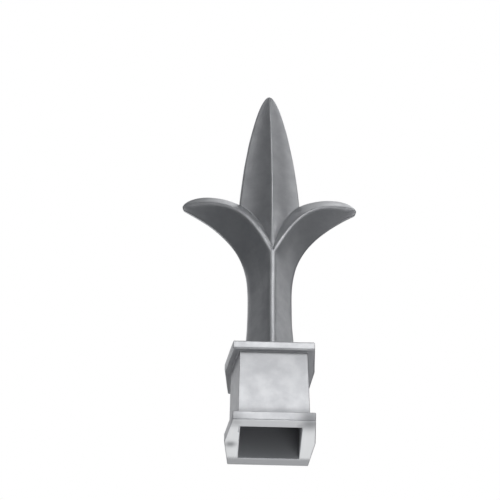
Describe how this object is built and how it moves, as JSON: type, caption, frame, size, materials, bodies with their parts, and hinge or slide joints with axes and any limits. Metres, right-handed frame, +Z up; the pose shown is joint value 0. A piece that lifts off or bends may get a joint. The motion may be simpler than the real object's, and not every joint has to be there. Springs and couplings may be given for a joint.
{
  "type": "spear_finial",
  "caption": "Cast aluminium spear finial with a pair of curling leaves, a lozenge stem and a flanged square socket base that slips over a fence picket",
  "frame": {"origin": "middle of the bottom rim of the socket base, on the plane it stands on", "axes": "+Z up the spear to its point, +X along the spread of the leaves, -Y is the front seen in the picture"},
  "size_m": [0.0598, 0.029, 0.1431],
  "materials": {
    "cast_aluminium": "bare casting, shot-blasted, satin"
  },
  "bodies": {
    "root": {"spear_finial": "cast_aluminium"}
  },
  "joints": []
}
